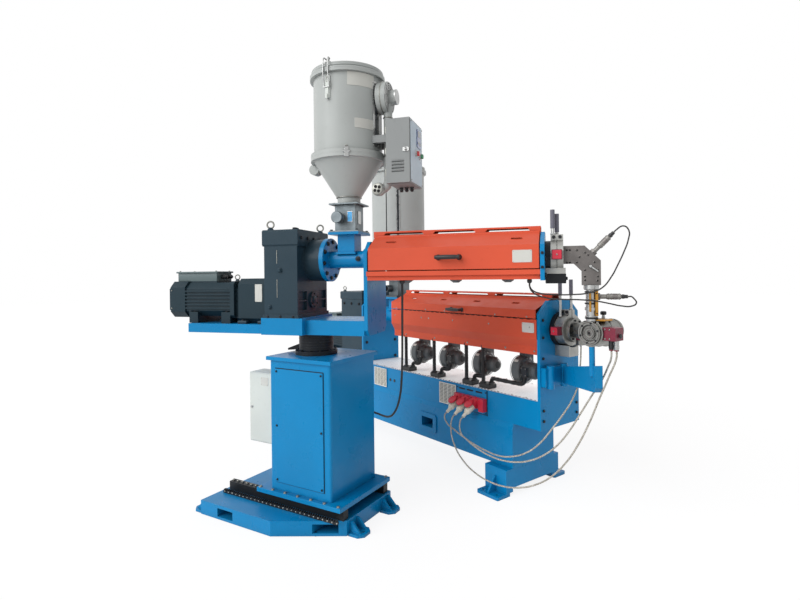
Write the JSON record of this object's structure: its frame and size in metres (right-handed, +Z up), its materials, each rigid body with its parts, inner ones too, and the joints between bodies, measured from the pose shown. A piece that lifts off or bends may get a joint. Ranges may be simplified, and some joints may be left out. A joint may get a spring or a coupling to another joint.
{
  "type": "co-extrusion plastic extruder line",
  "caption": "Plastic extruder on a floor base with hinged barrel covers, joined at a crosshead by a smaller extruder on a swivel pedestal, each with a hopper dryer.",
  "frame": {"origin": "floor level, centre of the four anchor holes of the main extruder's front foot", "axes": "+X along the main barrel towards the crosshead, +Y away from the operator, +Z up"},
  "size_m": [3.2452, 2.1317, 2.4613],
  "materials": {
    "blue_paint": "gloss enamel",
    "red_paint": "powder coat",
    "slate_paint": "semi-gloss enamel",
    "grey_paint": "powder coat",
    "white_panel": "powder coat",
    "steel": "machined",
    "tool_steel": "ground",
    "black_paint": "satin",
    "maroon_plastic": "moulded",
    "cream_plastic": "moulded",
    "cable_cream": "braided",
    "cable_black": "matte"
  },
  "bodies": {
    "frame": {"main_feet": "blue_paint", "main_beam": "blue_paint", "main_box": "blue_paint", "drive_plate": "blue_paint", "deck_plate": "white_panel", "base_panels": "white_panel", "power_sockets": "maroon_plastic", "heater_plugs": "cream_plastic", "main_end_plate": "blue_paint", "main_gearbox": "slate_paint", "main_motor": "slate_paint", "main_feed_throat": "blue_paint", "barrels": "steel", "barrel_flanges": "black_paint", "barrel_heaters": "steel", "barrel_blowers": "black_paint", "conduits_glands": "black_paint", "cover_trays": "red_paint", "cover_backs": "red_paint", "main_hopper_base": "steel", "main_hopper_body": "grey_paint", "main_hopper_lid": "grey_paint", "die_clamps": "steel", "clamp_levers": "slate_paint", "die_adapter": "steel", "crosshead": "steel", "heater_boxes": "maroon_plastic", "support_arm": "blue_paint", "melt_pipe": "steel", "gooseneck": "tool_steel", "melt_sensors": "tool_steel", "pedestal_base": "blue_paint", "slide_rails": "black_paint", "slide_plate": "blue_paint", "column": "blue_paint", "column_door": "blue_paint", "junction_box": "white_panel", "swivel_ring": "black_paint", "swing_beam": "blue_paint", "barrel_post": "blue_paint", "aux_end_plate": "blue_paint", "aux_motor": "slate_paint", "aux_bell_housing": "slate_paint", "aux_gearbox": "slate_paint", "aux_feed_throat": "blue_paint", "aux_hopper_base": "steel", "aux_hopper_cone": "grey_paint", "aux_hopper_cylinder": "grey_paint", "hopper_latches": "steel", "dryer_blower": "grey_paint", "control_box": "grey_paint", "heater_cable_a": "cable_cream", "heater_cable_b": "cable_cream", "heater_cable_c": "cable_cream", "power_cable": "cable_black", "sensor_cables": "cable_black"},
    "main_lid": {"main_cover_lid": "red_paint"},
    "aux_lid": {"aux_cover_lid": "red_paint"},
    "hopper_lid": {"aux_hopper_lid": "grey_paint"},
    "control_door": {"control_box_door": "grey_paint"}
  },
  "joints": [
    {"name": "main_lid_hinge", "type": "hinge", "parent": "frame", "child": "main_lid", "pos_m": [0, -0.0483, 1.178], "axis": [-1, 0, 0], "range_deg": [0, 80]},
    {"name": "aux_lid_hinge", "type": "hinge", "parent": "frame", "child": "aux_lid", "pos_m": [0.18431, -0.75231, 1.535], "axis": [-0.8171, -0.5764, 0], "range_deg": [0, 80]},
    {"name": "hopper_lid_hinge", "type": "hinge", "parent": "frame", "child": "hopper_lid", "pos_m": [-0.4639, -0.88123, 2.4053], "axis": [-0.8171, -0.5764, 0], "range_deg": [0, 85]},
    {"name": "control_door_hinge", "type": "hinge", "parent": "frame", "child": "control_door", "pos_m": [-0.05243, -1.00828, 1.979], "axis": [0, 0, -1], "range_deg": [0, 100]}
  ]
}
